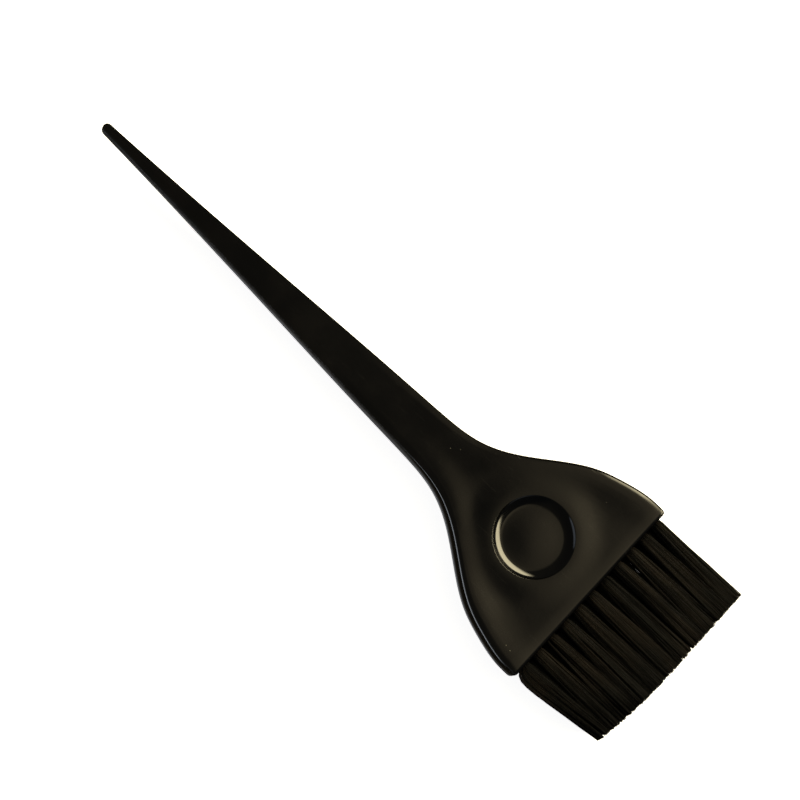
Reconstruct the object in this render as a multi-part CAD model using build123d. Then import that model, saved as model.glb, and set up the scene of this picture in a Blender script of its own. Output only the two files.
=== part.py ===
"""Hair tint brush: a one-piece moulded handle with a wide paddle head, and two staggered rows of
bristle tufts, each folded over a flat wire anchor at the bottom of its own blind hole.

Millimetres. +X runs from the tail to the bristle tips, +Z is out of the front face, and the
origin is under the middle of the brush, on the plane that the flat back of the head rests on.
"""

from build123d import *
import math
import os

# Driving dimensions
overall_length = 216.2
bristle_length = 30.8
head_width = 62.8
head_thickness = 9.6
tail_thickness = 3.8
tail_tip_radius = 1.65
edge_radius = 1.4
head_corner_radius = 1.6

# Half width of the handle at a few stations along X, from the tail to the shoulder of the head
side_stations = [
    (-80.0, 2.68),
    (-27.0, 5.5),
    (0.0, 6.95),
    (16.5, 7.8),
    (27.4, 9.5),
    (35.7, 13.35),
    (43.9, 19.05),
    (54.8, 26.3),
    (63.1, 29.4),
]
tail_taper = 0.033  # rise of the side per mm at the tail tip
shoulder_run = 2.0  # straight stretch of the side just behind the head's corner

# Half thickness at a few stations along X
thickness_stations = [(-55.0, 2.8), (0.0, 3.7)]
thickness_taper = 0.017  # rise of the face per mm at the tail tip
head_flat_start = 42.0  # from here to the bristle end the head has its full thickness

# Thumb recess, the same on both faces
recess_x = 55.4
recess_radius = 11.6
recess_depth = 1.5
recess_crown = 0.4
recess_rim_fillet = 0.35
recess_wall_angle = 60.0  # from the face, in degrees
recess_floor_fillet = 1.6

# Bristle tufts
tuft_pitch = 5.4
front_row_count = 11
row_spacing = 3.4
hole_radius = 1.6
hole_depth = 9.0
hole_clearance = 0.02
tuft_tip_gap = 0.15
tuft_tip_half_depth = 1.55
block_flare = 0.9  # how far the outermost tuft leans outward at its tip on the +Y side
block_lean_in = 1.3  # how far the outermost tuft leans inward at its tip on the -Y side

# Wire anchors
anchor_thickness = 0.3
anchor_width = 1.6
anchor_bite = 0.2  # how far each end of an anchor is pressed into the wall of its hole
fold_depth = 1.3  # bristle left under the anchor, where the tuft is folded

# Derived places
tail_x = -overall_length / 2
tip_x = overall_length / 2
head_end_x = tip_x - bristle_length
half_head = head_width / 2
mid_z = head_thickness / 2
hole_bottom_x = head_end_x - hole_depth
anchor_x = hole_bottom_x + fold_depth + anchor_width / 2
front_row_half = (front_row_count - 1) / 2 * tuft_pitch
block_half_width = front_row_half + hole_radius


def outline_about_x(upper):
    """A closed sketch from a line above the X axis that starts and ends on the axis."""
    with BuildSketch() as outline:
        with BuildLine():
            add(upper)
            mirror(about=Plane.XZ)
        make_face()
    return outline.sketch


def plan_outline():
    """The handle seen from the front: slim tapered tail, flared neck and wide square-cut head."""
    slope = math.atan(tail_taper)
    taper_start = (
        tail_x + tail_tip_radius * (1 - math.sin(slope)),
        tail_tip_radius * math.cos(slope),
    )
    corner_x = head_end_x - head_corner_radius
    shoulder = (corner_x - shoulder_run, half_head)
    corner_end = (head_end_x, half_head - head_corner_radius)
    with BuildLine() as upper:
        TangentArc((tail_x, 0), taper_start, tangent=(0, 1))
        Spline(taper_start, *side_stations, shoulder, tangents=[(1, tail_taper), (1, 0)])
        Line(shoulder, (corner_x, half_head))
        TangentArc((corner_x, half_head), corner_end, tangent=(1, 0))
        Line(corner_end, (head_end_x, 0))
    return outline_about_x(upper.line)


def side_outline():
    """The handle seen from its side, about its own middle: thin at the tail, flat at the head."""
    start = (tail_x, tail_thickness / 2)
    flat = (head_flat_start, mid_z)
    with BuildLine() as upper:
        Line((tail_x, 0), start)
        Spline(start, *thickness_stations, flat, tangents=[(1, thickness_taper), (1, 0)])
        Line(flat, (head_end_x, mid_z))
        Line((head_end_x, mid_z), (head_end_x, 0))
    return outline_about_x(upper.line)


def handle_blank():
    """Plan and side outlines crossed, with the rims of both faces rounded."""
    plan = extrude(plan_outline(), head_thickness)
    side = extrude(Plane.XZ * Pos(0, mid_z) * side_outline(), head_width, both=True)
    blank = plan & side

    def on_a_rim(edge):
        off_middle = min(abs(edge.position_at(t).Z - mid_z) for t in (0, 0.5, 1))
        seam = abs(edge.center().X - head_flat_start) < 0.01
        return off_middle > tail_thickness / 4 and not seam

    return fillet(blank.edges().filter_by(on_a_rim), edge_radius)


def recess_cutter():
    """The space of one thumb recess under a face at Z = 0: steep wall, round foot, crowned floor."""
    run = recess_depth / math.tan(math.radians(recess_wall_angle))
    foot = (recess_radius - run, -recess_depth)
    above_face = 1.0
    with BuildSketch(Plane.XZ) as profile:
        with BuildLine():
            crown = (0, recess_crown - recess_depth)
            TangentArc(crown, foot, tangent=(1, 0))
            Polyline(crown, (0, above_face), (recess_radius, above_face), (recess_radius, 0), foot)
        make_face()
        fillet(profile.vertices().sort_by_distance(foot)[0], recess_floor_fillet)
    return revolve(profile.sketch, Axis.Z)


def cut_recesses(body):
    """One thumb recess in each face, with a softened rim."""
    cutter = recess_cutter()
    front = Pos(recess_x, 0, head_thickness) * cutter
    back = Pos(recess_x, 0, 0) * Rot(180, 0, 0) * cutter
    body = body - front - back

    def on_a_rim(edge):
        at_face = min(abs(edge.center().Z), abs(edge.center().Z - head_thickness)) < 0.01
        return at_face and edge.geom_type == GeomType.CIRCLE and abs(edge.radius - recess_radius) < 0.01

    return fillet(body.edges().filter_by(on_a_rim), recess_rim_fillet)


def tuft_places():
    """(name, y, z) of every tuft hole: the front row, then the back row in its gaps."""
    front_z = mid_z + row_spacing / 2
    back_z = mid_z - row_spacing / 2
    places = []
    for i in range(front_row_count):
        places.append((f"front_{i + 1:02d}", i * tuft_pitch - front_row_half, front_z))
    for i in range(front_row_count - 1):
        places.append((f"back_{i + 1:02d}", (i + 0.5) * tuft_pitch - front_row_half, back_z))
    return places


def tip_y(root_y):
    """Where bristle that leaves the head at root_y ends: the block's two sides lean differently."""
    share = root_y / block_half_width
    lean = block_flare if share > 0 else block_lean_in
    return root_y + lean * abs(share) ** 3


def anchor(y, z):
    """A flat length of wire across the hole, its ends pressed a little way into the wall."""
    length = 2 * (hole_radius + anchor_bite)
    return Pos(anchor_x, y, z) * Box(anchor_width, length, anchor_thickness)


def tuft(y, z):
    """A bundle of bristles: round in its hole, spread to a flattened oval at the trimmed tips."""
    low = tip_y(max(y - tuft_pitch / 2, -block_half_width)) + tuft_tip_gap
    high = tip_y(min(y + tuft_pitch / 2, block_half_width)) - tuft_tip_gap
    root = Plane(origin=(head_end_x, y, z), x_dir=(0, 1, 0), z_dir=(1, 0, 0))
    tips = Plane(origin=(tip_x, (low + high) / 2, z), x_dir=(0, 1, 0), z_dir=(1, 0, 0))
    mouth = root * Circle(hole_radius - hole_clearance)
    brush = loft([mouth, tips * Ellipse((high - low) / 2, tuft_tip_half_depth)])
    return extrude(mouth, -hole_depth) + brush - anchor(y, z)


def handle():
    """The moulded handle with its recesses, tuft holes and the marks that the anchors bite."""
    holes = []
    for _, y, z in tuft_places():
        mouth = Plane(origin=(head_end_x, y, z), z_dir=(1, 0, 0))
        holes.append(extrude(mouth * Circle(hole_radius), -hole_depth) + anchor(y, z))
    return cut_recesses(handle_blank()) - holes


def write(shape, node):
    export_step(shape, f"parts/{node}.step")


os.makedirs("parts", exist_ok=True)
write(handle(), "handle")
for place, y, z in tuft_places():
    write(tuft(y, z), f"tuft_{place}")
    write(anchor(y, z), f"anchor_{place}")
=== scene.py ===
"""Looks of the tint brush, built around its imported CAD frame.

Shapes are worked out in millimetres, in the frame's axes: +X from the tail to the bristle tips,
+Z out of the front face, with the head's flat back on Z = 0. Meshes are written in metres.
"""

import math
import random

import bmesh
import bpy
import numpy as np
from mathutils import Matrix, Vector
from mathutils.geometry import delaunay_2d_cdt


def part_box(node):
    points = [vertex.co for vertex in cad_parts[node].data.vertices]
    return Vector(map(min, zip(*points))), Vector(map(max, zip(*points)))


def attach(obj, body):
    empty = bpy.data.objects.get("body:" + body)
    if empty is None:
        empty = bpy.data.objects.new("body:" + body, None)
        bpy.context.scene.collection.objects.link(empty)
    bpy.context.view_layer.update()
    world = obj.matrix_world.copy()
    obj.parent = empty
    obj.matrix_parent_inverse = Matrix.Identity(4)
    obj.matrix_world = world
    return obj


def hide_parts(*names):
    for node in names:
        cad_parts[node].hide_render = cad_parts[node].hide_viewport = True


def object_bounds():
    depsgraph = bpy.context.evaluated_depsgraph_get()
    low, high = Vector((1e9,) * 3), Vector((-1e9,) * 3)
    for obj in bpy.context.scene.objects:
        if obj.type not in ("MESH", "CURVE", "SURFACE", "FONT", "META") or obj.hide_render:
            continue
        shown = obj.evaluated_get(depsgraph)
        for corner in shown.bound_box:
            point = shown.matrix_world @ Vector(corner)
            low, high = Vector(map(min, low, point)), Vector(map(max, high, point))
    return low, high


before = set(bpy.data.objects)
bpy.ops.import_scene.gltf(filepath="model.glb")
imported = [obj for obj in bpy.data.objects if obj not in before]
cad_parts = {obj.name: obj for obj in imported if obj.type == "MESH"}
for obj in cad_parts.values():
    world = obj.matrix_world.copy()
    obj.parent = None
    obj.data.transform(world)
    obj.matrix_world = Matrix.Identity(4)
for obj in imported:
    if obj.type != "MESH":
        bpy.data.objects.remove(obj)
cad_low, cad_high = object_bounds()
MM = 0.001

# Handle sizes, from the frame
handle_low, handle_high = (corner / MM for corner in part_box("handle"))
tail_x = handle_low.x
head_end_x = handle_high.x
half_head = handle_high.y
thickness = handle_high.z
mid_z = thickness / 2
tip_x = cad_high.x / MM

# Handle sizes that the frame's boxes don't hold
tail_edge_run = 0.35  # how far the rounded side wall leans in, from its middle up to the face
head_edge_run = 1.2
edge_run_change = (5, 45)  # stretch of X over which it grows from the one to the other
rim_angle = math.radians(48)  # how steeply the side wall starts at the face's edge
tail_tip_radius = 1.65
tail_taper = 0.033
head_corner_radius = 1.6
shoulder_run = 2.0
side_stations = [
    (-80.0, 2.68),
    (-27.0, 5.5),
    (0.0, 6.95),
    (16.5, 7.8),
    (27.4, 9.6),
    (35.7, 13.45),
    (43.9, 19.2),
    (54.8, 26.45),
    (63.1, 29.5),
]
tail_half_thickness = 1.9
thickness_taper = 0.017
thickness_stations = [(-55.0, 2.8), (0.0, 3.7)]
head_flat_start = 42.0
parting_line_width = 0.6
parting_line_height = 0.1

# Spacing of the handle's mesh
tail_arc_points = 9
tail_rows = 75
head_rows = 98
corner_arc_points = 8
face_columns = 77
wall_rings = 13  # rings of points down the side, of which the first few also round the flat end's edge
corner_rings = 9
patch_half_length = 16.0  # of the rows that the rings round a recess take the place of
patch_margin = 7  # columns left at each side of those rings
# How far out each ring lies, as a share of the way from the recess's rim to the rows
recess_ring_shares = (1, 0.84, 0.7, 0.57, 0.46, 0.36, 0.27, 0.19, 0.12, 0.06, 0.025, 0)
hole_sides = 28
handle_crease = 22  # degrees, over which an edge of the mesh stays sharp
bristle_crease = 60

# Thumb recess
recess_x = 55.4
recess_radius = 11.45
recess_depth = 1.5
recess_crown = 0.29
recess_rim_radius = 0.1
wall_foot_angle = math.radians(13)  # slope of the wall's arc where it meets the floor
wall_top_angle = math.radians(48)
mound_gap = 0.5  # level ring left around the rim
mound_width = 8.5  # over which the ring falls away to the dished face
rim_outer_radius = recess_radius + recess_rim_radius * math.sin(wall_top_angle)

# Dished faces of the neck and head, inside a rolled border
neck_dish_depth = 0.4
head_dish_depth = 0.8
end_dish_depth = 0.3
dish_slope_width = 5.0
neck_start_x = 5.0
neck_dish_full_x = 30
head_dish_change = (42, 64)
end_dish_start_x = 60
neck_drop = 0.4  # how far the neck's face lies under the head's, beyond what its taper gives
neck_drop_start = (-40, 5)
neck_drop_end = (16, 43)
border_width = 3.3
border_roll_width = 2.4
border_drops = [(-20, 0), (40, 0.4), (54, 0.44), (60, 0.66), (70, 0.64), (74, 0.44), (77, 0.28)]
end_border_width = 4.0
end_border_drop = 0.25

# Tuft holes and tufts
hole_radius = 1.6
hole_depth = 9.0
hole_chamfer = 0.12
hole_foot = 0.5  # bevel round the bottom of a hole
fold_depth = 1.3
packed_radius = 1.47  # of the outermost filaments' centres in a hole
filament_radius = 0.11
filament_sides = 5
leg_points = 10
fold_points = 5
filaments_per_tuft = 92  # each is folded in two, so a tuft shows twice as many ends
front_spring = 0.4  # how far a tuft's sides spring out as it leaves its hole
back_spring = 1.3
tip_half_depth = 1.75
tip_overlap = 1.2  # how far neighbouring tufts' tips reach into each other
block_flare = 0.9
block_lean_in = 1.3
block_swell = 2.9  # how far the last tuft at -Y stands out where it leaves the head
swell_start_share = 0.88  # of the block's half width, beyond which filaments stand out
flare_start_share = 0.92
corner_cut = 2.7  # how much shorter the block's tips get from the middle to the -Y end
tip_allowance = 0.04  # keeps the longest filaments behind the CAD's tips
trim_scatter = 0.24
tuft_sway = 0.25
clumps_per_tuft = 9
tip_scatter_y = 0.2
tip_scatter_z = 0.15
stray_chance = 0.03  # of a filament that bows far out of its tuft
stray_bow = 3
bristle_seed = 12


# ---------------------------------------------------------------- shape of the handle


def clamped_spline(stations, start_slope, end_slope):
    """A smooth function through (x, value) stations, with these slopes at its two ends."""
    x, y = np.array(stations, float).T
    step = np.diff(x)
    rise = np.diff(y)
    last = len(x) - 1
    matrix = np.eye(last + 1)
    target = np.zeros(last + 1)
    target[0], target[last] = start_slope, end_slope
    for i in range(1, last):
        before, after = 1 / step[i - 1], 1 / step[i]
        matrix[i, i - 1 : i + 2] = before, 2 * (before + after), after
        target[i] = 3 * (rise[i - 1] * before**2 + rise[i] * after**2)
    slope = np.linalg.solve(matrix, target)

    def value(at):
        i = np.clip(np.searchsorted(x, at) - 1, 0, last - 1)
        h = step[i]
        t = (at - x[i]) / h
        return (
            (1 + 2 * t) * (1 - t) ** 2 * y[i]
            + t * (1 - t) ** 2 * h * slope[i]
            + t * t * (3 - 2 * t) * y[i + 1]
            + t * t * (t - 1) * h * slope[i + 1]
        )

    return value


def smooth(value, low, high):
    """0 below low, 1 above high, and an S curve between them."""
    t = np.clip((value - low) / (high - low), 0, 1)
    return t * t * (3 - 2 * t)


taper_angle = math.atan(tail_taper)
taper_start = (
    tail_x + tail_tip_radius * (1 - math.sin(taper_angle)),
    tail_tip_radius * math.cos(taper_angle),
)
corner_x = head_end_x - head_corner_radius
shoulder = (corner_x - shoulder_run, half_head)
half_width = clamped_spline([taper_start, *side_stations, shoulder], tail_taper, 0)
half_thickness = clamped_spline(
    [(tail_x, tail_half_thickness), *thickness_stations, (head_flat_start, mid_z)], thickness_taper, 0
)


def outline():
    """Points and outward normals of the handle's +Y side, from the tail's end round to the head's end."""
    points, normals = [], []
    for angle in np.linspace(0, math.pi / 2 - taper_angle, tail_arc_points)[:-1]:
        normal = (-math.cos(angle), math.sin(angle))
        points.append((tail_x + tail_tip_radius * (1 + normal[0]), tail_tip_radius * normal[1]))
        normals.append(normal)
    tail_stations = np.linspace(taper_start[0], neck_start_x, tail_rows)
    head_stations = np.linspace(neck_start_x, shoulder[0], head_rows)[1:]
    tiny = 0.01
    for x in [*tail_stations, *head_stations]:
        inside = np.clip([x - tiny, x + tiny], taper_start[0], shoulder[0])
        low, high = half_width(inside)
        slope = (high - low) / (inside[1] - inside[0])
        length = math.hypot(1, slope)
        points.append((x, half_width(x)))
        normals.append((-slope / length, 1 / length))
    points.append((corner_x - shoulder_run / 2, half_head))
    normals.append((0, 1))
    centre_y = half_head - head_corner_radius
    for angle in np.linspace(math.pi / 2, 0, corner_arc_points):
        normal = (math.cos(angle), math.sin(angle))
        points.append((corner_x + head_corner_radius * normal[0], centre_y + head_corner_radius * normal[1]))
        normals.append(normal)
    return np.array(points), np.array(normals)


def edge_run(x):
    """How far in from the outline the face begins: little on the grip, more round the head."""
    return tail_edge_run + (head_edge_run - tail_edge_run) * smooth(x, *edge_run_change)


def face_z(x, y):
    """Height of the front face: a rolled border, and in it a dish with the mound of the recess."""
    plain = mid_z + np.where(x < head_flat_start, half_thickness(np.minimum(x, head_flat_start)), mid_z)
    edge = half_width(np.clip(x, taper_start[0], shoulder[0]))
    dish = neck_dish_depth * smooth(x, neck_start_x, neck_dish_full_x)
    dish = dish + (head_dish_depth - neck_dish_depth) * smooth(x, *head_dish_change)
    dish = dish + (end_dish_depth - head_dish_depth) * smooth(x, end_dish_start_x, head_end_x)
    for side in (-1, 1):
        from_border = np.clip(edge - border_width + side * y, 0, None)
        dish = dish * (1 - np.exp(-((from_border / dish_slope_width) ** 2)))
    from_rim = np.hypot(x - recess_x, y) - rim_outer_radius - mound_gap
    dish = dish * smooth(from_rim, 0, mound_width)
    side_roll = np.clip(1 - (edge - np.abs(y)) / border_roll_width, 0, 1) ** 1.3
    end_roll = np.clip(1 - (head_end_x - x) / end_border_width, 0, 1) ** 2
    side_drop = np.interp(x, *zip(*border_drops))
    neck = neck_drop * smooth(x, *neck_drop_start) * (1 - smooth(x, *neck_drop_end))
    return plain - neck - dish - side_drop * side_roll - end_border_drop * end_roll


def recess_profile():
    """(radius, depth) pairs from the rim, down the hollow wall and over the crowned floor."""
    profile = []
    for angle in np.linspace(0, wall_top_angle, 5):
        radius = rim_outer_radius - recess_rim_radius * math.sin(angle)
        profile.append((radius, recess_rim_radius * (1 - math.cos(angle))))
    top_radius, top_depth = profile[-1]
    arc = (recess_depth - top_depth) / (math.cos(wall_foot_angle) - math.cos(wall_top_angle))
    for angle in np.linspace(wall_top_angle, wall_foot_angle, 16)[1:]:
        radius = top_radius - arc * (math.sin(wall_top_angle) - math.sin(angle))
        profile.append((radius, top_depth + arc * (math.cos(angle) - math.cos(wall_top_angle))))
    floor_radius = profile[-1][0]
    for share in np.linspace(1, 0.08, 14)[1:]:
        crown = recess_crown * (1 - share**2) ** 2
        profile.append((floor_radius * share, recess_depth - crown))
    return profile


class Surface:
    """Collects points and faces of one mesh; points that meet are welded at the end."""

    def __init__(self):
        self.points = []
        self.faces = []

    def grid(self, rows, closed=False):
        """Quads between consecutive rows of points; closed joins each row's end to its start."""
        start = len(self.points)
        width = len(rows[0])
        for row in rows:
            self.points.extend(tuple(p) for p in row)
        spans = width if closed else width - 1
        for i in range(len(rows) - 1):
            for j in range(spans):
                a = start + i * width + j
                b = start + i * width + (j + 1) % width
                self.faces.append((a, b, b + width, a + width))

    def fan(self, ring, middle):
        """Triangles from a closed ring of points to one in its middle."""
        start = len(self.points)
        self.points.extend(tuple(p) for p in ring)
        self.points.append(tuple(middle))
        for j in range(len(ring)):
            self.faces.append((start + j, start + (j + 1) % len(ring), start + len(ring)))

    def patch(self, points, faces):
        start = len(self.points)
        self.points.extend(tuple(p) for p in points)
        self.faces.extend(tuple(start + i for i in face) for face in faces)

    def mirror_z(self):
        """Adds a copy of everything so far, mirrored in the middle plane."""
        start = len(self.points)
        self.points.extend((x, y, thickness - z) for x, y, z in self.points[:start])
        self.faces.extend(tuple(start + i for i in reversed(face)) for face in self.faces[:])

    def to_object(self, name, crease_degrees):
        """A welded, smooth-shaded object in metres, with the edges over the crease angle sharp."""
        mesh = bpy.data.meshes.new(name)
        mesh.from_pydata([Vector(p) * MM for p in self.points], [], self.faces)
        shape = bmesh.new()
        shape.from_mesh(mesh)
        bmesh.ops.remove_doubles(shape, verts=shape.verts, dist=0.002 * MM)
        bmesh.ops.dissolve_degenerate(shape, edges=shape.edges, dist=0.0005 * MM)
        bmesh.ops.recalc_face_normals(shape, faces=shape.faces)
        for face in shape.faces:
            face.smooth = True
        for edge in shape.edges:
            edge.smooth = edge.calc_face_angle(0) < math.radians(crease_degrees)
        shape.to_mesh(mesh)
        shape.free()
        piece = bpy.data.objects.new(name, mesh)
        bpy.context.scene.collection.objects.link(piece)
        return piece


def tuft_places():
    """(name, y, z) of each tuft's root, from the boxes of the CAD anchors across the holes."""
    places = []
    for node in sorted(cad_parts):
        if node.startswith("anchor_"):
            low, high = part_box(node)
            middle = (low + high) / 2 / MM
            places.append((node.removeprefix("anchor_"), middle.y, middle.z))
    return places


def hole_circle(y, z, radius):
    """(y, z) points round a tuft hole."""
    circle = []
    for k in range(hole_sides):
        angle = 2 * math.pi * k / hole_sides
        circle.append((y + radius * math.cos(angle), z + radius * math.sin(angle)))
    return circle


def end_face(surface, rim):
    """The flat end of the head inside its rim of (y, z) points, ringed for every tuft hole.

    The triangulation also leaves some faces across the holes' mouths, hidden by the tufts.
    """
    coords = [Vector(p) for p in rim]
    loops = [list(range(len(rim)))]
    for _, y, z in tuft_places():
        first = len(coords)
        coords.extend(Vector(p) for p in hole_circle(y, z, hole_radius + hole_chamfer))
        loops.append(list(range(first, len(coords))))
    edges = [(loop[i], loop[(i + 1) % len(loop)]) for loop in loops for i in range(len(loop))]
    output_type = 2
    merge_distance = 1e-6
    points, _, faces, _, _, _ = delaunay_2d_cdt(coords, edges, [], output_type, merge_distance)
    surface.patch([(head_end_x, p.x, p.y) for p in points], faces)


def tuft_holes(surface):
    """The chamfered wall and the bevelled bottom of every tuft hole."""
    steps = [
        (hole_radius + hole_chamfer, 0),
        (hole_radius, hole_chamfer),
        (hole_radius, hole_depth - hole_foot),
        (hole_radius - hole_foot, hole_depth),
    ]
    for _, y, z in tuft_places():
        rings = []
        for radius, depth in steps:
            rings.append([(head_end_x - depth, *point) for point in hole_circle(y, z, radius)])
        surface.grid(rings, closed=True)
        surface.fan(rings[-1], (head_end_x - hole_depth, y, z))


def recess_patch(surface, rows, first, last, left, right):
    """Fills the gap left in the face's grid of rows with rings that close in on the round recess."""
    top = [rows[i][left] for i in range(first, last)]
    end = [rows[last][j] for j in range(left, right)]
    bottom = [rows[i][right] for i in range(last, first, -1)]
    start = [rows[first][j] for j in range(right, left, -1)]
    border = np.array([*top, *end, *bottom, *start])
    offset = border[:, :2] - (recess_x, 0)
    reach = np.hypot(offset[:, 0], offset[:, 1])
    direction = offset / reach[:, None]
    rings = []
    for share in recess_ring_shares:
        radius = rim_outer_radius + (reach - rim_outer_radius) * share
        x = recess_x + direction[:, 0] * radius
        y = direction[:, 1] * radius
        rings.append(np.stack([x, y, face_z(x, y)], 1))
    level = rings[-1][:, 2]
    for radius, depth in recess_profile():
        x = recess_x + direction[:, 0] * radius
        y = direction[:, 1] * radius
        rings.append(np.stack([x, y, level - depth], 1))
    surface.grid(rings, closed=True)
    surface.fan(rings[-1], (recess_x, 0, thickness - recess_depth + recess_crown))


def side_profile(run, top, squareness):
    """(outward offset, z) of the side, from the face down to the middle.

    It is most of a quarter ellipse with the thin ridge of the parting line or, where squareness is
    1, as at the flat end, a quarter circle and a straight drop.
    """
    profile = []
    ridge_top = mid_z + parting_line_width / 2
    first = math.atan(math.tan(rim_angle) * run / (top - ridge_top))
    for i in range(wall_rings):
        share = i / (wall_rings - 1)
        angle = first + (math.pi / 2 - first) * share**1.4
        round_out = (run - parting_line_height) * (math.sin(angle) - math.sin(first)) / (1 - math.sin(first))
        round_z = ridge_top + (top - ridge_top) * math.cos(angle) / math.cos(first)
        turn = math.pi / 2 * min(1, i / (corner_rings - 1))
        fall = max(0, i - corner_rings + 1) / (wall_rings - corner_rings)
        square_out = run * math.sin(turn)
        square_z = top - run * (1 - math.cos(turn)) - (top - run - ridge_top) * fall
        out = round_out + (square_out - round_out) * squareness
        profile.append((out, round_z + (square_z - round_z) * squareness))
    profile.append((run, mid_z + parting_line_width / 4))
    profile.append((run, mid_z))
    return profile


def face_rows(inner):
    """Rows of points across the front face, one through each point of its outline."""
    even = np.linspace(-1, 1, face_columns)
    columns = (even + np.sin(math.pi / 2 * even)) / 2
    rows = []
    for x, y in inner:
        across = columns * y
        along = np.full_like(across, x)
        rows.append(np.stack([along, across, face_z(along, across)], 1))
    return rows


def add_face(surface, rows):
    """The front face, with the rings of the thumb recess let into its rows."""
    row_x = [row[0, 0] for row in rows]
    first = int(np.searchsorted(row_x, recess_x - patch_half_length))
    last = int(np.searchsorted(row_x, recess_x + patch_half_length))
    left, right = patch_margin, face_columns - 1 - patch_margin
    surface.grid(rows[: first + 1])
    surface.grid([row[: left + 1] for row in rows[first : last + 1]])
    surface.grid([row[right:] for row in rows[first : last + 1]])
    surface.grid(rows[last:])
    recess_patch(surface, rows, first, last, left, right)


def add_sides(surface, rows, normals, run):
    """Both side walls, from the edges of the face down to the parting line."""
    for side, column in ((-1, 0), (1, face_columns - 1)):
        strips = []
        for i in range(len(rows)):
            x, y, z = rows[i][column]
            strip = []
            squareness = max(0, normals[i][0]) ** 2
            for out, height in side_profile(run[i], z, squareness):
                strip.append((x + out * normals[i][0], y + out * normals[i][1] * side, height))
            strips.append(strip)
        surface.grid(strips)


def add_end_edge(surface, row, run):
    """The rounded edge from the face's last row to the flat end; returns the (y, z) points it ends on."""
    strips = []
    for x, y, z in row:
        corner = side_profile(run, z, 1)[:corner_rings]
        strips.append([(x + out, y, height) for out, height in corner])
    surface.grid(strips)
    return [(strip[-1][1], strip[-1][2]) for strip in strips]


def end_rim(upper, top, run):
    """(y, z) points all round the flat end, from those along its upper edge."""
    wall = [z for _, z in side_profile(run, top, 1)[corner_rings:]]
    wall += [thickness - z for z in reversed(wall[:-1])]
    right_wall = [(upper[-1][0], z) for z in wall]
    left_wall = [(upper[0][0], z) for z in reversed(wall)]
    lower = [(y, thickness - z) for y, z in reversed(upper)]
    return upper + right_wall + lower + left_wall


def make_handle():
    """The one-piece moulding: dished faces, rounded edges, thumb recesses and tuft holes."""
    points, normals = outline()
    run = edge_run(points[:, 0])
    inner = points - run[:, None] * normals
    inner[0, 1] = 0
    rows = face_rows(inner)
    surface = Surface()
    add_face(surface, rows)
    add_sides(surface, rows, normals, run)
    upper = add_end_edge(surface, rows[-1], run[-1])
    surface.mirror_z()
    end_face(surface, end_rim(upper, rows[-1][0][2], run[-1]))
    tuft_holes(surface)
    return surface.to_object("brush_handle", handle_crease)


# ---------------------------------------------------------------- bristles


places = tuft_places()
block_half_width = max(y for _, y, _ in places) + hole_radius
row_ys = sorted({round(y, 3) for _, y, z in places if z > mid_z})
tuft_pitch = row_ys[1] - row_ys[0]
sprung_limit = block_half_width - 0.25  # the outermost filaments hardly spring out


def tip_y(root_y):
    """Where bristle that leaves the head at root_y ends: flared at +Y and leaning in at -Y."""
    share = root_y / block_half_width
    lean = block_flare if share > 0 else block_lean_in
    return root_y + lean * abs(share) ** 3


def trim_x(y):
    """The cut line of the tips: square over the +Y half, and rounded off towards -Y."""
    share = min(0, y) / block_half_width
    return tip_x - tip_allowance - corner_cut * share**2


def filament_leg(root, spring, tip, rng):
    """Points from the mouth of the hole to the trimmed tip, bowed and slightly crimped."""
    share = root[0] / block_half_width
    swell = block_swell * smooth(-share, swell_start_share, 1)
    fan_power = 0.85 + 0.85 * smooth(share, flare_start_share, 1)
    bow = stray_bow if rng.random() < stray_chance else 1
    bow_y, bow_z = bow * rng.gauss(0, 0.14), rng.gauss(0, 0.1)
    crimp, phase, waves = rng.uniform(0.01, 0.05), rng.uniform(0, 6.3), rng.uniform(2, 3.5)
    spring_rise, swell_rise = 0.01, 0.06  # shares of the length over which they build up
    crowding = 2.2  # draws the points of the path towards the mouth
    path = []
    for s in np.linspace(0, 1, leg_points) ** crowding:
        fan = s**fan_power
        sprung = (1 - math.exp(-s / spring_rise)) * (1 - s)
        swollen = swell * (1 - math.exp(-s / swell_rise)) * (1 - s)
        bend = math.sin(math.pi * s)
        ripple = crimp * math.sin(phase + 2 * math.pi * waves * s) * min(1, 4 * s)
        path.append((
            head_end_x + (tip[0] - head_end_x) * s,
            root[0] + (tip[1] - root[0]) * fan + spring[0] * sprung - swollen + bow_y * bend + ripple,
            root[1] + (tip[2] - root[1]) * fan + spring[1] * sprung + bow_z * bend + ripple / 2,
        ))
    return path


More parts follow.
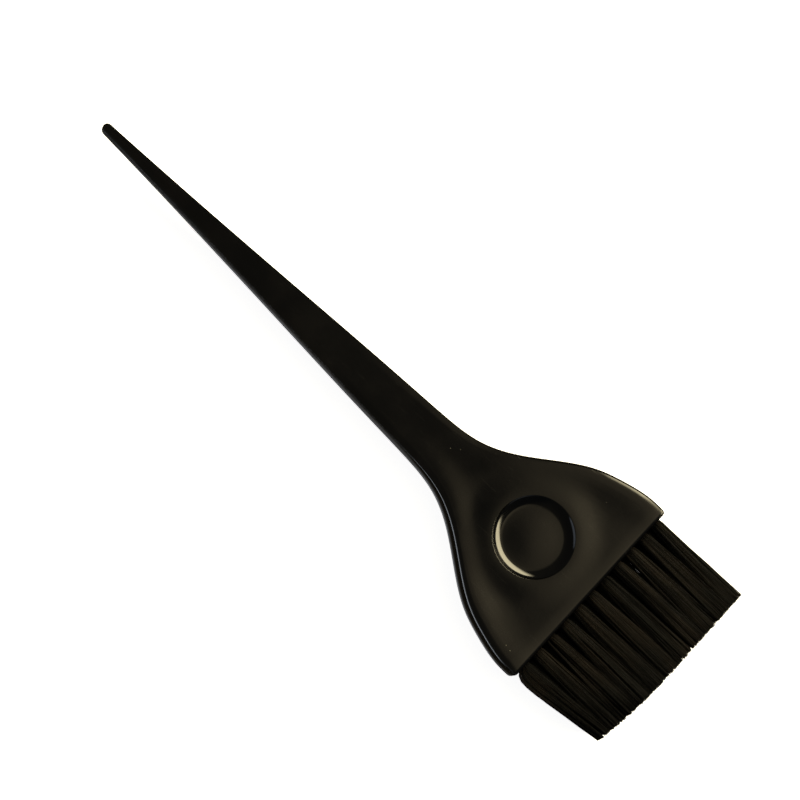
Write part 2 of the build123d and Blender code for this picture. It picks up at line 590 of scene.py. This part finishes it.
def make_tuft(place, root_y, root_z, rng):
    """One tuft: filaments folded round the anchor, out of the hole and fanned to the trimmed tips."""
    low = tip_y(max(-block_half_width, root_y - tuft_pitch / 2))
    high = tip_y(min(block_half_width, root_y + tuft_pitch / 2))
    sway = rng.gauss(0, tuft_sway)
    fold_x = head_end_x - hole_depth + fold_depth
    clumps = [rng.uniform(-1, 1) for _ in range(clumps_per_tuft)]
    row_spring = front_spring if root_z > mid_z else back_spring
    surface = Surface()

    def leg(across, depth_share):
        clump = min(clumps, key=lambda c: abs(c - across))
        spread = across + (clump - across) * rng.uniform(0, 0.5)
        y = (low + high) / 2 + (high - low) / 2 * spread * tip_overlap + sway
        y += rng.gauss(0, tip_scatter_y)
        y = min(max(y, tip_y(-block_half_width)), tip_y(block_half_width))
        z = root_z + depth_share * tip_half_depth + rng.gauss(0, tip_scatter_z)
        root = (root_y + across * packed_radius, root_z + depth_share * packed_radius)
        sprung_y = min(max(root[0] + across * row_spring, -sprung_limit), sprung_limit)
        spring = (sprung_y - root[0], depth_share * row_spring)
        tip = (trim_x(y) - abs(rng.gauss(0, trim_scatter)), y, z)
        return filament_leg(root, spring, tip, rng)

    for _ in range(filaments_per_tuft):
        turn = rng.uniform(0, math.pi)
        reach = math.sqrt(rng.uniform(0.01, 1))
        across, depth_share = reach * math.cos(turn), max(0.1, reach * math.sin(turn))
        front = leg(across, depth_share)
        back = leg(across, -depth_share)
        bend = front[0][2] - root_z
        fold = []
        for angle in np.linspace(0, math.pi, fold_points):
            fold.append((fold_x - bend * math.sin(angle), front[0][1], root_z + bend * math.cos(angle)))
        add_filament(surface, front[::-1] + fold + back)
    return surface.to_object(f"bristles_{place}", bristle_crease)


def add_filament(surface, path):
    """A thin round tube along a path, closed at both cut ends."""
    points = np.array(path)
    tangent = np.gradient(points, axis=0)
    tangent /= np.linalg.norm(tangent, axis=1)[:, None]
    across = np.cross(tangent, (0.0, 1.0, 0.0))
    across /= np.linalg.norm(across, axis=1)[:, None]
    up = np.cross(tangent, across)
    rings = []
    for i in range(len(points)):
        ring = []
        for k in range(filament_sides):
            angle = 2 * math.pi * k / filament_sides
            offset = math.cos(angle) * across[i] + math.sin(angle) * up[i]
            ring.append(points[i] + filament_radius * offset)
        rings.append(ring)
    surface.grid(rings, closed=True)
    surface.fan(rings[0], points[0])
    surface.fan(rings[-1], points[-1])


# ---------------------------------------------------------------- materials


class Material:
    """A principled material, with short calls for the node chains that the finishes share."""

    def __init__(self, name):
        self.material = bpy.data.materials.new(name)
        self.material.use_nodes = True
        self.nodes = self.material.node_tree.nodes
        self.links = self.material.node_tree.links
        self.shader = self.nodes["Principled BSDF"]
        self.place = self.nodes.new("ShaderNodeTexCoord").outputs["Object"]
        self.normal = None

    def set(self, **values):
        for name, value in values.items():
            self.shader.inputs[name.replace("_", " ")].default_value = value

    def link(self, output, name):
        self.links.new(output, self.shader.inputs[name])

    def noise(self, scale, detail=3, stretch=(1, 1, 1), distortion=0):
        """Noise with this many waves a metre, divided along each axis by stretch."""
        mapping = self.nodes.new("ShaderNodeMapping")
        mapping.inputs["Scale"].default_value = [scale / s for s in stretch]
        self.links.new(self.place, mapping.inputs["Vector"])
        noise = self.nodes.new("ShaderNodeTexNoise")
        noise.inputs["Scale"].default_value = 1
        noise.inputs["Detail"].default_value = detail
        noise.inputs["Distortion"].default_value = distortion
        self.links.new(mapping.outputs["Vector"], noise.inputs["Vector"])
        return noise.outputs["Fac"]

    def along(self, axis):
        """How far each point lies along an axis, in metres."""
        node = self.nodes.new("ShaderNodeVectorMath")
        node.operation = "DOT_PRODUCT"
        self.links.new(self.place, node.inputs[0])
        node.inputs[1].default_value = axis
        return node.outputs["Value"]

    def specks(self, scale, size):
        """1 inside small round specks scattered this many a metre, and 0 between them."""
        mapping = self.nodes.new("ShaderNodeMapping")
        mapping.inputs["Scale"].default_value = (scale, scale, scale)
        self.links.new(self.place, mapping.inputs["Vector"])
        cells = self.nodes.new("ShaderNodeTexVoronoi")
        cells.inputs["Scale"].default_value = 1
        self.links.new(mapping.outputs["Vector"], cells.inputs["Vector"])
        return self.spread(cells.outputs["Distance"], size, size * 0.6, 0, 1)

    def spread(self, value, low, high, to_low, to_high):
        """Maps low..high to to_low..to_high, with an S curve."""
        mapper = self.nodes.new("ShaderNodeMapRange")
        mapper.interpolation_type = "SMOOTHSTEP"
        names = ("From Min", "From Max", "To Min", "To Max")
        for name, number in zip(names, (low, high, to_low, to_high)):
            mapper.inputs[name].default_value = number
        self.links.new(value, mapper.inputs["Value"])
        return mapper.outputs["Result"]

    def combine(self, operation, first, second):
        node = self.nodes.new("ShaderNodeMath")
        node.operation = operation
        self.links.new(first, node.inputs[0])
        self.links.new(second, node.inputs[1])
        return node.outputs["Value"]

    def colours(self, value, stops):
        """A colour ramp through (position, (red, green, blue)) stops."""
        ramp = self.nodes.new("ShaderNodeValToRGB")
        elements = ramp.color_ramp.elements
        while len(elements) < len(stops):
            elements.new(0.5)
        for element, (position, colour) in zip(elements, stops):
            element.position = position
            element.color = (*colour, 1)
        self.links.new(value, ramp.inputs["Fac"])
        return ramp.outputs["Color"]

    def bump(self, height, depth_mm):
        """Adds relief of this depth to the surface's normal."""
        node = self.nodes.new("ShaderNodeBump")
        node.inputs["Strength"].default_value = 1
        node.inputs["Distance"].default_value = depth_mm * MM
        self.links.new(height, node.inputs["Height"])
        if self.normal:
            self.links.new(self.normal, node.inputs["Normal"])
        self.normal = node.outputs["Normal"]
        self.link(self.normal, "Normal")


def handle_plastic():
    """Glossy black polypropylene: faint orange peel, fine lengthwise scuffs and a few dust specks."""
    plastic = Material("handle_plastic")
    clouds = plastic.noise(90, detail=4)
    scuffs = plastic.noise(2600, detail=2, stretch=(18, 1, 1), distortion=0.6)
    scuffs = plastic.spread(scuffs, 0.62, 0.74, 0, 1)
    dust = plastic.combine("MULTIPLY", plastic.specks(300, 0.06), plastic.spread(clouds, 0.6, 0.64, 0, 1))
    tone = plastic.colours(clouds, [(0.3, (0.0005, 0.0005, 0.0005)), (0.7, (0.001, 0.0009, 0.0009))])
    dusty = plastic.nodes.new("ShaderNodeMixRGB")
    dusty.inputs["Color2"].default_value = (0.05, 0.047, 0.042, 1)
    plastic.links.new(dust, dusty.inputs["Fac"])
    plastic.links.new(tone, dusty.inputs["Color1"])
    plastic.link(dusty.outputs["Color"], "Base Color")
    gloss = plastic.spread(clouds, 0.35, 0.65, 0.08, 0.16)
    plastic.link(plastic.combine("ADD", gloss, plastic.spread(scuffs, 0, 1, 0, 0.08)), "Roughness")
    plastic.bump(plastic.noise(650, detail=2), 0.006)
    plastic.bump(plastic.noise(140, detail=1), 0.012)
    plastic.bump(scuffs, 0.0012)
    plastic.set(IOR=1.49)
    return plastic.material


def bristle_nylon():
    """Black nylon filament: matt and slightly brown, each strand its own tone, with fine draw lines.

    The tips are darker and rougher near the -Y corner: painted shade.
    """
    nylon = Material("bristle_nylon")
    strands = nylon.noise(3200, detail=2, stretch=(60, 1, 1))
    locks = nylon.spread(nylon.noise(260, detail=3, stretch=(5, 1, 1)), 0.38, 0.62, 0.35, 1)
    to_corner = nylon.along((0.8, -0.6, 0))
    # painted shade: darkens the tips towards the -Y corner and makes them rougher there
    painted_shade_factor = nylon.spread(to_corner, 0.086, 0.095, 1, 0.2)
    tone = nylon.combine("MULTIPLY", nylon.combine("MULTIPLY", strands, locks), painted_shade_factor)
    browns = [
        (0.18, (0.0003, 0.0003, 0.0004)),
        (0.42, (0.0038, 0.0028, 0.002)),
        (0.66, (0.0085, 0.0062, 0.0042)),
    ]
    nylon.link(nylon.colours(tone, browns), "Base Color")
    gloss = nylon.spread(strands, 0.35, 0.65, 0.62, 0.4)
    nylon.link(nylon.combine("ADD", gloss, nylon.spread(painted_shade_factor, 0.2, 1, 0.35, 0)), "Roughness")
    nylon.bump(nylon.noise(9000, detail=1, stretch=(40, 1, 1)), 0.004)
    nylon.set(Specular_IOR_Level=0.12)
    return nylon.material


def anchor_brass():
    """Stamped brass strip: rolled grain along its length and a dull tarnish in patches."""
    brass = Material("anchor_brass")
    tarnish = brass.noise(900, detail=4)
    grain = brass.noise(9000, detail=2, stretch=(1, 25, 1))
    brass.link(brass.colours(tarnish, [(0.35, (0.42, 0.28, 0.11)), (0.62, (0.74, 0.55, 0.26))]), "Base Color")
    brass.link(brass.spread(tarnish, 0.3, 0.7, 0.5, 0.28), "Roughness")
    brass.bump(grain, 0.003)
    brass.set(Metallic=1)
    return brass.material


def floor_paper():
    """A smooth white sweep, lit from below as well, so that it throws no hard shadow."""
    paper = Material("floor_paper")
    grain = paper.noise(2500, detail=4)
    paper.link(paper.colours(grain, [(0.3, (0.89, 0.89, 0.89)), (0.7, (0.91, 0.91, 0.91))]), "Base Color")
    paper.link(paper.spread(grain, 0.3, 0.7, 0.8, 0.9), "Roughness")
    paper.set(Specular_IOR_Level=0.2, Emission_Color=(1, 1, 1, 1), Emission_Strength=0.92)
    return paper.material


# ---------------------------------------------------------------- stage


def make_camera():
    """Above the brush, tilted towards its -Y side, with the brush running down to the right."""
    aim = Vector((3.3, 2.5, 4.8)) * MM
    distance = 478 * MM
    tilt_to_side = math.radians(11.1)
    tilt_to_tips = math.radians(1.3)
    turn = math.radians(44.0)
    back = Vector((
        math.sin(tilt_to_tips),
        -math.sin(tilt_to_side) * math.cos(tilt_to_tips),
        math.cos(tilt_to_side) * math.cos(tilt_to_tips),
    ))
    along = Vector((1, 0, 0)) - back * back.x
    along.normalize()
    across = back.cross(along)
    right = along * math.cos(turn) + across * math.sin(turn)
    up = across * math.cos(turn) - along * math.sin(turn)
    camera = bpy.data.objects.new("camera", bpy.data.cameras.new("camera"))
    bpy.context.scene.collection.objects.link(camera)
    camera.data.lens = 78.3
    camera.data.sensor_width = 36
    camera.data.clip_start = 0.01
    rotation = Matrix((right, up, back)).transposed().to_4x4()
    camera.matrix_world = Matrix.Translation(aim + back * distance) @ rotation
    bpy.context.scene.camera = camera


class Sky:
    """The soft studio light, painted on the world by direction."""

    def __init__(self):
        world = bpy.data.worlds.new("studio")
        bpy.context.scene.world = world
        world.use_nodes = True
        self.nodes = world.node_tree.nodes
        self.links = world.node_tree.links
        self.direction = self.nodes.new("ShaderNodeTexCoord").outputs["Generated"]
        self.total = None

    def along(self, axis):
        """How far each direction points along an axis, from -1 to 1."""
        node = self.nodes.new("ShaderNodeVectorMath")
        node.operation = "DOT_PRODUCT"
        self.links.new(self.direction, node.inputs[0])
        node.inputs[1].default_value = axis
        return node.outputs["Value"]

    def step(self, value, low, high):
        """0 below low, 1 above high, or the other way round when low is the larger."""
        node = self.nodes.new("ShaderNodeMapRange")
        node.interpolation_type = "SMOOTHSTEP"
        backwards = low > high
        node.inputs["From Min"].default_value = min(low, high)
        node.inputs["From Max"].default_value = max(low, high)
        node.inputs["To Min"].default_value = 1 if backwards else 0
        node.inputs["To Max"].default_value = 0 if backwards else 1
        self.links.new(value, node.inputs["Value"])
        return node.outputs["Result"]

    def math(self, operation, *values):
        """One operation on numbers and other nodes' values."""
        node = self.nodes.new("ShaderNodeMath")
        node.operation = operation
        for socket, value in zip(node.inputs, values):
            if isinstance(value, (int, float)):
                socket.default_value = value
            else:
                self.links.new(value, socket)
        return node.outputs["Value"]

    def ramp(self, value, stops):
        """Levels of grey through (position, level) stops."""
        node = self.nodes.new("ShaderNodeValToRGB")
        elements = node.color_ramp.elements
        while len(elements) < len(stops):
            elements.new(0.5)
        for element, (position, level) in zip(elements, stops):
            element.position = position
            element.color = (level, level, level, 1)
        self.links.new(value, node.inputs["Fac"])
        return node.outputs["Color"]

    def add(self, mask, colour, strength):
        """Adds light of one colour where the mask is, to what is there already."""
        scale = self.nodes.new("ShaderNodeVectorMath")
        scale.operation = "MULTIPLY"
        scale.inputs[0].default_value = [c * strength for c in colour]
        self.links.new(mask, scale.inputs[1])
        result = scale.outputs["Vector"]
        if self.total:
            total = self.nodes.new("ShaderNodeVectorMath")
            self.links.new(self.total, total.inputs[0])
            self.links.new(result, total.inputs[1])
            result = total.outputs["Vector"]
        self.total = result

    def panel(self, azimuth, half_width, low, high, colour, strength):
        """A soft-edged panel of light with a level foot and an arched top; its sizes are in degrees."""
        middle, spread = math.radians(azimuth), math.radians(half_width)
        foot, crest = math.sin(math.radians(low)), math.sin(math.radians(high))
        softness, foot_softness = 0.3, 0.04
        height = self.along((0, 0, 1))
        level = self.math("SQRT", self.math("SUBTRACT", 1, self.math("POWER", height, 2)))
        towards = self.along((math.cos(middle), math.sin(middle), 0))
        facing = self.math("DIVIDE", towards, self.math("MAXIMUM", level, 0.01))
        sideways = self.math("DIVIDE", self.math("SUBTRACT", 1, facing), 1 - math.cos(spread))
        climb = self.math("DIVIDE", self.math("SUBTRACT", height, foot), crest - foot)
        reach = self.math("ADD", sideways, self.math("POWER", climb, 2))
        arch = self.step(reach, 1 + softness, 1 - softness)
        mask = self.math("MULTIPLY", arch, self.step(height, foot - foot_softness, foot + foot_softness))
        self.add(mask, colour, strength)

    def finish(self):
        self.links.new(self.total, self.nodes["Background"].inputs["Color"])


def make_sky():
    """Dark overhead, a warm glow and panel over +Y, and over -Y a horizon and two low cool panels.

    One of those two lies under the horizon, where only reflections see it: they leave out the floor.
    """
    sky = Sky()
    lit_side = Vector((0.58, 0.58, 0.57))
    glow_levels = [
        (0.0, 0.03),
        (0.45, 0.05),
        (0.6, 0.05),
        (0.66, 0.12),
        (0.72, 0.36),
        (0.79, 0.55),
        (0.84, 0.8),
        (1.0, 1.0),
    ]
    glow = sky.ramp(sky.along(lit_side), glow_levels)
    off_the_tips = sky.step(sky.along((1, 0, 0)), 0.6, 0.3)
    sky.add(sky.math("MULTIPLY", glow, off_the_tips), (1, 0.83, 0.52), 1)
    height = sky.along((0, 0, 1))
    over_near_side = sky.step(sky.along((0, 1, 0)), 0.15, -0.05)
    horizon = sky.math("MULTIPLY", sky.step(height, 0.12, 0.05), sky.step(height, -0.3, 0))
    sky.add(sky.math("MULTIPLY", horizon, over_near_side), (0.95, 0.97, 1), 0.3)
    below = sky.step(height, -0.9, -0.96)
    sky.add(sky.math("MULTIPLY", below, over_near_side), (0.95, 0.97, 1), 0.13)
    sky.add(sky.step(height, 0, 0.1), (0.8, 0.9, 1), 0.04)
    sky.panel(71, 46, 18, 53.5, (1, 0.88, 0.56), 13)
    sky.panel(228, 26, 10, 22, (0.78, 0.87, 1), 0.9)
    sky.panel(240, 33, -22, -8, (0.85, 0.92, 1), 4.5)
    sky.finish()


def make_stage():
    """The pale floor and the sky, which aren't part of the brush."""
    gap_under_brush = 0.1 * MM
    bpy.ops.mesh.primitive_plane_add(size=30, location=(0, 0, -gap_under_brush))
    floor = bpy.context.object
    floor.name = "floor"
    floor.data.materials.append(floor_paper())
    floor.visible_glossy = False
    make_sky()
    bpy.context.scene.view_settings.view_transform = "Standard"


# ---------------------------------------------------------------- assembly


def place_piece(piece, node, material):
    """Puts a visual piece in the place of its CAD node."""
    piece.data.materials.clear()
    piece.data.materials.append(material)
    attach(piece, "root")
    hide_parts(node)


make_camera()
make_stage()
place_piece(make_handle(), "handle", handle_plastic())
rng = random.Random(bristle_seed)
nylon = bristle_nylon()
for place, y, z in places:
    place_piece(make_tuft(place, y, z, rng), f"tuft_{place}", nylon)
brass = anchor_brass()
for place, _, _ in places:
    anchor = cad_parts[f"anchor_{place}"]
    anchor.data.materials.clear()
    anchor.data.materials.append(brass)
